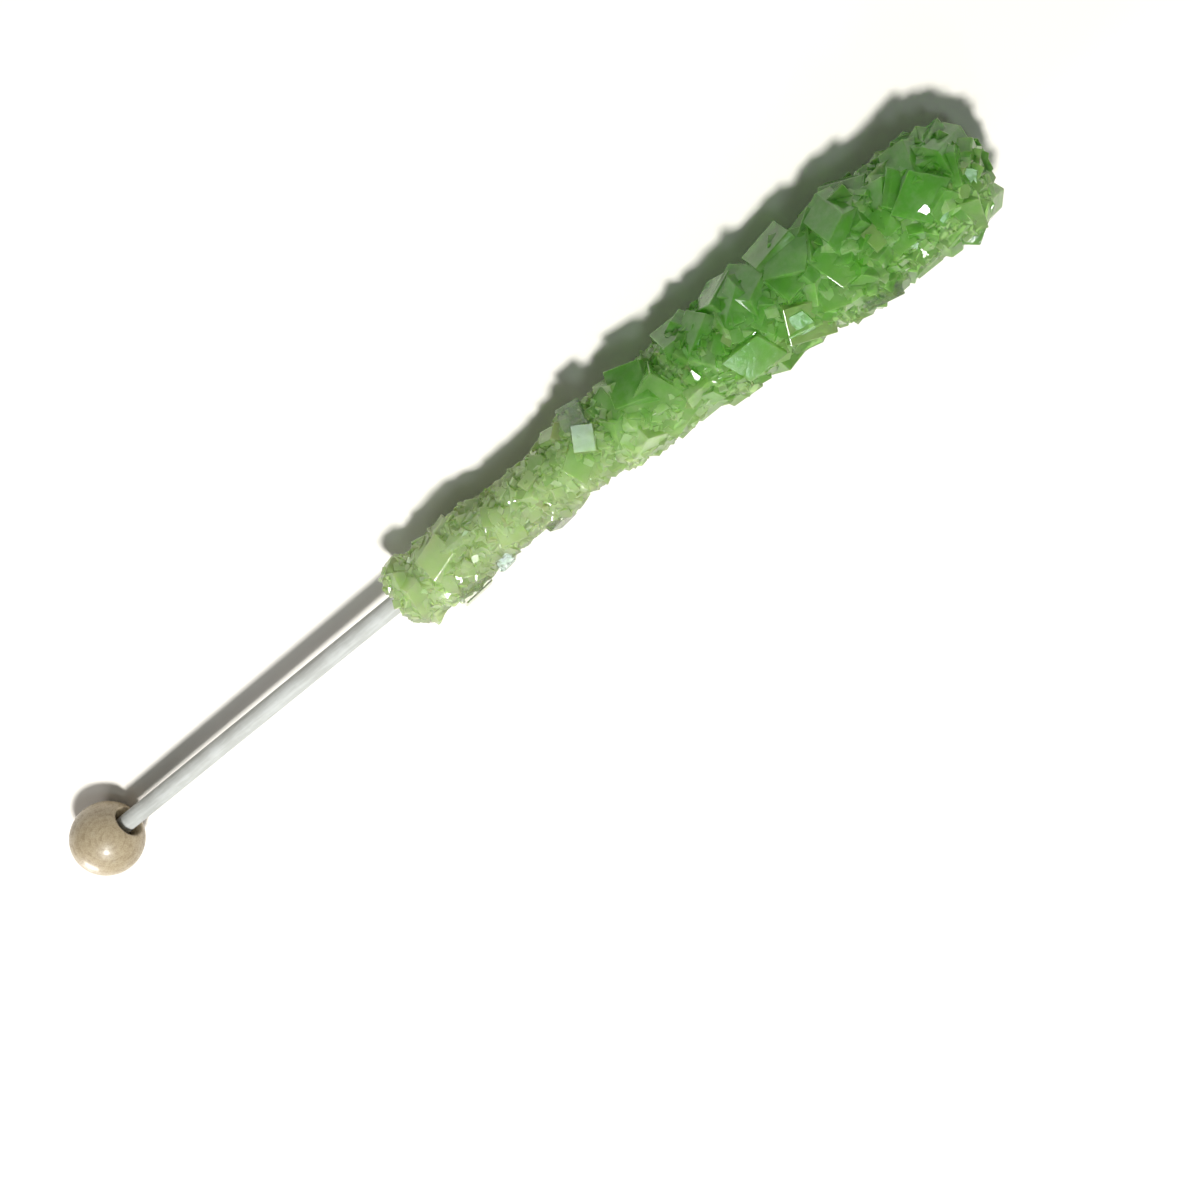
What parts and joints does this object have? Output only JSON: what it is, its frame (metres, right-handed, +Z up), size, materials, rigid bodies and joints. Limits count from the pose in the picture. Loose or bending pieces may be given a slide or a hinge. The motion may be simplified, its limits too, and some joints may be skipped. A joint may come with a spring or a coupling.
{
  "type": "rock candy stick",
  "caption": "Green sugar crystals grown round the far end of a slim paper stick, with a small wooden ball on the other end as a grip, lying on its side.",
  "frame": {"origin": "on the table, under the middle of the whole length and width", "axes": "+X along the stick from the wooden ball to the tip of the candy, +Z up, +Y to the side where the candy reaches less far from the stick"},
  "size_m": [0.151, 0.0158, 0.0145],
  "materials": {
    "wood": "pale bare wood, sanded smooth",
    "paper": "white rolled paper, matt",
    "sugar": "clear to milky green sugar crystals"
  },
  "bodies": {
    "root": {"ball": "wood", "stick": "paper", "candy": "sugar"}
  },
  "joints": []
}
